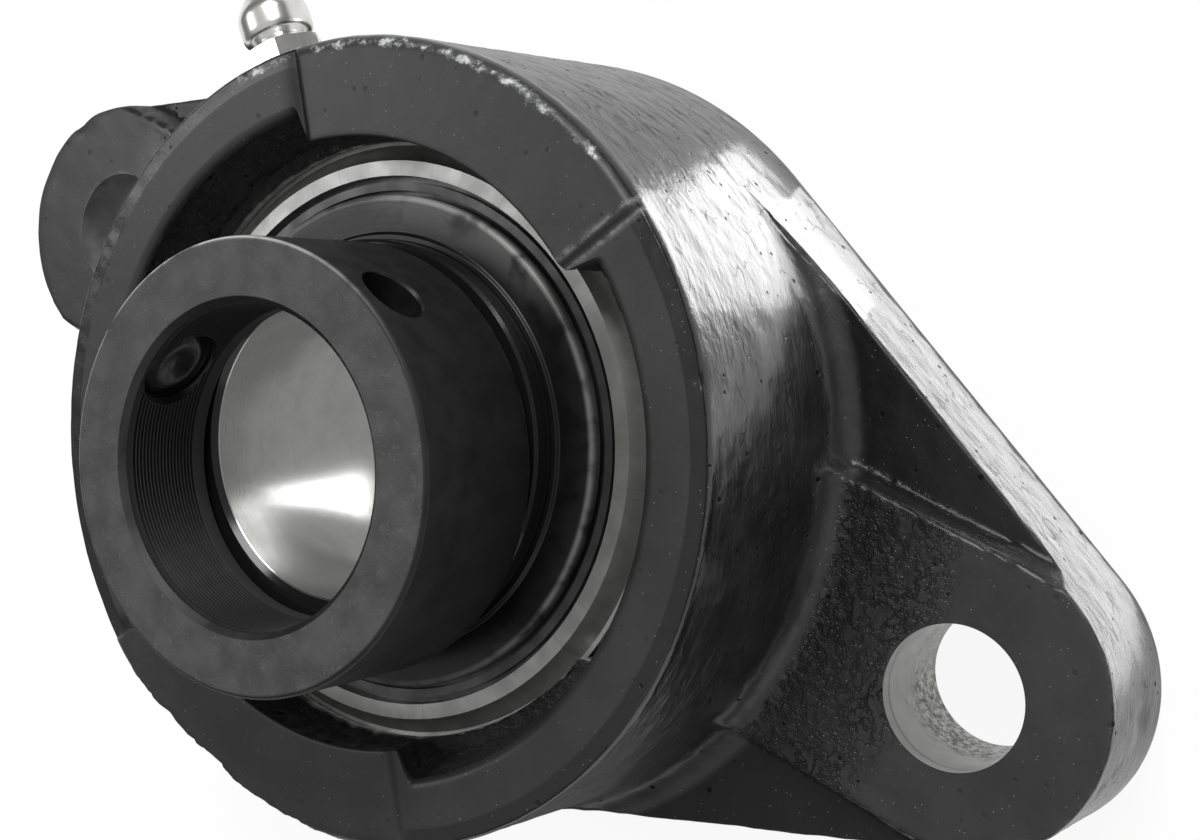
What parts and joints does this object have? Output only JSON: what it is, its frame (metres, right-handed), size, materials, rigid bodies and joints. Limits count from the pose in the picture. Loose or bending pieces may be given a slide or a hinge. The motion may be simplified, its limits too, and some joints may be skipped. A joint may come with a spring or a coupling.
{
  "type": "two-bolt flange bearing unit",
  "caption": "Cast two-bolt flange housing with a self-aligning ball bearing insert, eccentric locking collar and grease nipple, for carrying the end of a shaft.",
  "frame": {"origin": "on the bearing axis at the flange's mounting face, half way between the bolt holes", "axes": "+Z along the bearing axis out of the front, where the locking collar is; +X along the line of the bolt holes, with the grease nipple on the -X, +Y side"},
  "size_m": [0.1484, 0.082, 0.0506],
  "materials": {
    "cast_paint": "black satin paint on rough castings",
    "ground_steel": "ground bearing steel",
    "black_steel": "black oxide",
    "seal_steel": "pressed sheet steel",
    "seal_rubber": "moulded nitrile rubber",
    "cage_steel": "pressed sheet steel",
    "ball_steel": "polished bearing steel",
    "zinc": "bright zinc plate"
  },
  "bodies": {
    "housing": {"housing": "cast_paint", "grease_nipple": "zinc", "nipple_spring": "zinc"},
    "outer_ring": {"outer_ring": "ground_steel", "front_seal_case": "seal_steel", "front_seal_lip": "seal_rubber", "rear_seal_case": "seal_steel", "rear_seal_lip": "seal_rubber"},
    "inner_ring": {"inner_ring": "ground_steel", "front_flinger": "black_steel", "rear_flinger": "black_steel"},
    "cage": {"cage_front_half": "cage_steel", "cage_rear_half": "cage_steel", "cage_rivets": "cage_steel"},
    "ball_1": {"ball_1": "ball_steel"},
    "ball_2": {"ball_2": "ball_steel"},
    "ball_3": {"ball_3": "ball_steel"},
    "ball_4": {"ball_4": "ball_steel"},
    "ball_5": {"ball_5": "ball_steel"},
    "ball_6": {"ball_6": "ball_steel"},
    "ball_7": {"ball_7": "ball_steel"},
    "ball_8": {"ball_8": "ball_steel"},
    "ball_9": {"ball_9": "ball_steel"},
    "locking_collar": {"locking_collar": "black_steel"},
    "set_screw": {"set_screw": "black_steel"},
    "nipple_check_ball": {"nipple_check_ball": "ball_steel"}
  },
  "joints": [
    {"name": "outer_ring_tilt", "type": "hinge", "parent": "housing", "child": "outer_ring", "pos_m": [0, 0, 0.0205], "axis": [0, 1, 0], "range_deg": [-2.5, 2.5]},
    {"name": "inner_ring_spin", "type": "hinge", "parent": "outer_ring", "child": "inner_ring", "pos_m": [0, 0, 0.0205], "axis": [0, 0, 1], "continuous": true},
    {"name": "cage_spin", "type": "hinge", "parent": "outer_ring", "child": "cage", "pos_m": [0, 0, 0.0205], "axis": [0, 0, 1], "continuous": true},
    {"name": "ball_1_spin", "type": "hinge", "parent": "cage", "child": "ball_1", "pos_m": [0.02265, 0.00399, 0.0205], "axis": [0, 0, 1], "continuous": true},
    {"name": "ball_2_spin", "type": "hinge", "parent": "cage", "child": "ball_2", "pos_m": [0.01478, 0.01762, 0.0205], "axis": [0, 0, 1], "continuous": true},
    {"name": "ball_3_spin", "type": "hinge", "parent": "cage", "child": "ball_3", "pos_m": [0, 0.023, 0.0205], "axis": [0, 0, 1], "continuous": true},
    {"name": "ball_4_spin", "type": "hinge", "parent": "cage", "child": "ball_4", "pos_m": [-0.01478, 0.01762, 0.0205], "axis": [0, 0, 1], "continuous": true},
    {"name": "ball_5_spin", "type": "hinge", "parent": "cage", "child": "ball_5", "pos_m": [-0.02265, 0.00399, 0.0205], "axis": [0, 0, 1], "continuous": true},
    {"name": "ball_6_spin", "type": "hinge", "parent": "cage", "child": "ball_6", "pos_m": [-0.01992, -0.0115, 0.0205], "axis": [0, 0, 1], "continuous": true},
    {"name": "ball_7_spin", "type": "hinge", "parent": "cage", "child": "ball_7", "pos_m": [-0.00787, -0.02161, 0.0205], "axis": [0, 0, 1], "continuous": true},
    {"name": "ball_8_spin", "type": "hinge", "parent": "cage", "child": "ball_8", "pos_m": [0.00787, -0.02161, 0.0205], "axis": [0, 0, 1], "continuous": true},
    {"name": "ball_9_spin", "type": "hinge", "parent": "cage", "child": "ball_9", "pos_m": [0.01992, -0.0115, 0.0205], "axis": [0, 0, 1], "continuous": true},
    {"name": "collar_turn", "type": "hinge", "parent": "inner_ring", "child": "locking_collar", "pos_m": [0, -0.00075, 0.04265], "axis": [0, 0, 1], "continuous": true},
    {"name": "set_screw_feed", "type": "slide", "parent": "locking_collar", "child": "set_screw", "axis": [-0.9744, 0.225, 0], "range_m": [-0.0005, 0.0045]},
    {"name": "check_ball_lift", "type": "slide", "parent": "housing", "child": "nipple_check_ball", "axis": [0.7071, -0.7071, 0], "range_m": [0, 0.0004], "stiffness_N_per_m": 60, "springref_m": -0.001}
  ],
  "couplings": [
    {"joint": "cage_spin", "follows": "inner_ring_spin", "ratio": 0.39647},
    {"joint": "ball_1_spin", "follows": "inner_ring_spin", "ratio": -2.3112},
    {"joint": "ball_2_spin", "follows": "inner_ring_spin", "ratio": -2.3112},
    {"joint": "ball_3_spin", "follows": "inner_ring_spin", "ratio": -2.3112},
    {"joint": "ball_4_spin", "follows": "inner_ring_spin", "ratio": -2.3112},
    {"joint": "ball_5_spin", "follows": "inner_ring_spin", "ratio": -2.3112},
    {"joint": "ball_6_spin", "follows": "inner_ring_spin", "ratio": -2.3112},
    {"joint": "ball_7_spin", "follows": "inner_ring_spin", "ratio": -2.3112},
    {"joint": "ball_8_spin", "follows": "inner_ring_spin", "ratio": -2.3112},
    {"joint": "ball_9_spin", "follows": "inner_ring_spin", "ratio": -2.3112}
  ]
}
